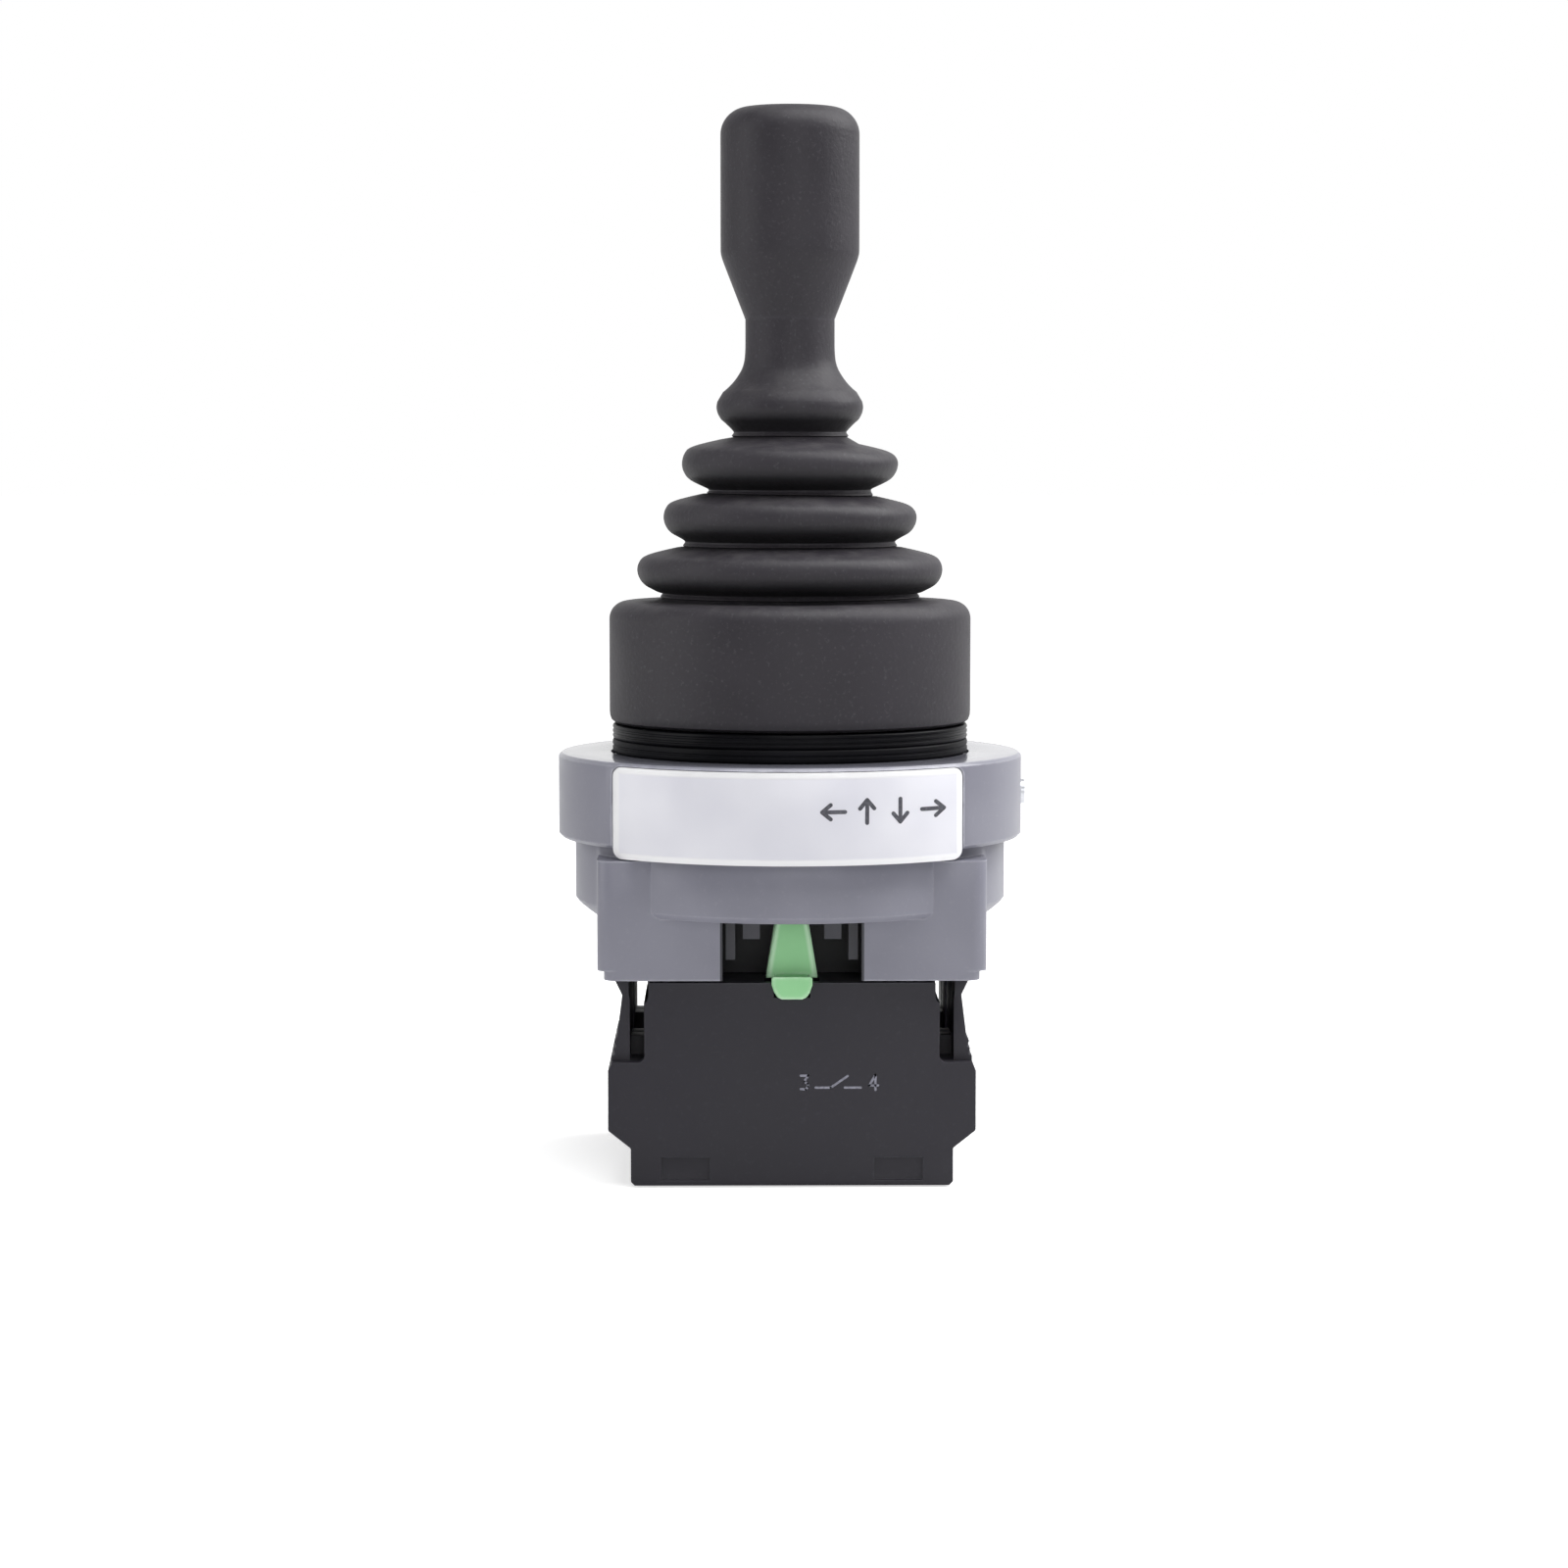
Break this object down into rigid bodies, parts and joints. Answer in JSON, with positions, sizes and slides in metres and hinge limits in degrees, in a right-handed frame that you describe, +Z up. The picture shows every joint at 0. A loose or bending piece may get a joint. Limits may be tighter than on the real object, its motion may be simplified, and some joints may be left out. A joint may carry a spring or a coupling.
{
  "type": "industrial joystick",
  "caption": "Spring-return four-way industrial joystick switch with ribbed boot, panel neck, grey collar and clip-on contact blocks.",
  "frame": {"origin": "on the lever axis, at the underside of the contact blocks", "axes": "+Z up the lever, +X to the right, -Y towards the labelled front"},
  "size_m": [0.051, 0.0506, 0.1148],
  "materials": {
    "handle_black": "fine moulded grain",
    "rubber_black": "fine moulded grain",
    "gasket_black": "smooth",
    "plastic_gloss_black": "glossy",
    "plastic_black": "moulded",
    "plastic_block": "fine satin",
    "plastic_grey": "smooth satin",
    "plastic_green": "satin",
    "plastic_white": "satin",
    "label_silver": "satin silver",
    "steel": "turned",
    "steel_pale": "zinc plated",
    "steel_dark": "blackened",
    "cast_alloy": "die cast",
    "spring_steel": "drawn",
    "brass": "stamped",
    "contact_copper": "stamped, silver tips"
  },
  "bodies": {
    "housing": {"boot": "rubber_black", "locking_ring": "plastic_gloss_black", "panel_gasket": "gasket_black", "neck_body": "plastic_black", "gate_plate": "steel_dark", "gate_screws": "steel", "gimbal_outer_pins": "steel", "pin_spacers": "brass", "return_spring": "spring_steel", "rod_guide": "plastic_white", "collar": "plastic_grey", "skirt": "plastic_grey", "flange_screws": "steel", "skirt_screws": "steel", "set_screws": "steel_pale", "label_plate": "label_silver", "dust_shields": "plastic_black", "block_case_1": "plastic_block", "block_cover_1": "plastic_block", "plunger_spring_1": "spring_steel", "terminals_1": "brass", "terminal_screws_1": "steel", "block_case_2": "plastic_block", "block_cover_2": "plastic_block", "plunger_spring_2": "spring_steel", "terminals_2": "brass", "terminal_screws_2": "steel", "block_case_3": "plastic_block", "block_cover_3": "plastic_block", "plunger_spring_3": "spring_steel", "terminals_3": "brass", "terminal_screws_3": "steel", "block_case_4": "plastic_block", "block_cover_4": "plastic_block", "plunger_spring_4": "spring_steel", "terminals_4": "brass", "terminal_screws_4": "steel"},
    "gimbal": {"gimbal_ring": "cast_alloy"},
    "lever": {"grip": "handle_black", "lever_shaft": "steel", "lever_hub": "steel_dark", "swash_plate": "steel_dark", "lever_nut": "steel", "gimbal_inner_pins": "steel"},
    "pusher_front": {"push_rod_front": "plastic_white", "plunger_1": "plastic_green", "contact_bridge_1": "contact_copper"},
    "pusher_left": {"push_rod_left": "plastic_white", "plunger_2": "plastic_green", "contact_bridge_2": "contact_copper"},
    "pusher_right": {"push_rod_right": "plastic_white", "plunger_3": "plastic_green", "contact_bridge_3": "contact_copper"},
    "pusher_back": {"push_rod_back": "plastic_white", "plunger_4": "plastic_green", "contact_bridge_4": "contact_copper"}
  },
  "joints": [
    {"name": "lever_left_right", "type": "hinge", "parent": "housing", "child": "gimbal", "pos_m": [0, 0, 0.0545], "axis": [0, 1, 0], "range_deg": [-13, 13], "stiffness_Nm_per_rad": 0.6, "deforming": ["boot", "return_spring"]},
    {"name": "lever_front_back", "type": "hinge", "parent": "gimbal", "child": "lever", "pos_m": [0, 0, 0.0545], "axis": [1, 0, 0], "range_deg": [-13, 13], "stiffness_Nm_per_rad": 0.6},
    {"name": "push_front", "type": "slide", "parent": "housing", "child": "pusher_front", "axis": [0, 0, 1], "range_m": [-0.00171, 0.00171], "stiffness_N_per_m": 5, "deforming": ["plunger_spring_1"]},
    {"name": "push_left", "type": "slide", "parent": "housing", "child": "pusher_left", "axis": [0, 0, 1], "range_m": [-0.00171, 0.00171], "stiffness_N_per_m": 5, "deforming": ["plunger_spring_2"]},
    {"name": "push_right", "type": "slide", "parent": "housing", "child": "pusher_right", "axis": [0, 0, 1], "range_m": [-0.00171, 0.00171], "stiffness_N_per_m": 5, "deforming": ["plunger_spring_3"]},
    {"name": "push_back", "type": "slide", "parent": "housing", "child": "pusher_back", "axis": [0, 0, 1], "range_m": [-0.00171, 0.00171], "stiffness_N_per_m": 5, "deforming": ["plunger_spring_4"]}
  ],
  "couplings": [
    {"joint": "push_front", "follows": "lever_front_back", "m_per_rad": -0.0075},
    {"joint": "push_left", "follows": "lever_left_right", "m_per_rad": 0.0075},
    {"joint": "push_right", "follows": "lever_left_right", "m_per_rad": -0.0075},
    {"joint": "push_back", "follows": "lever_front_back", "m_per_rad": 0.0075}
  ]
}
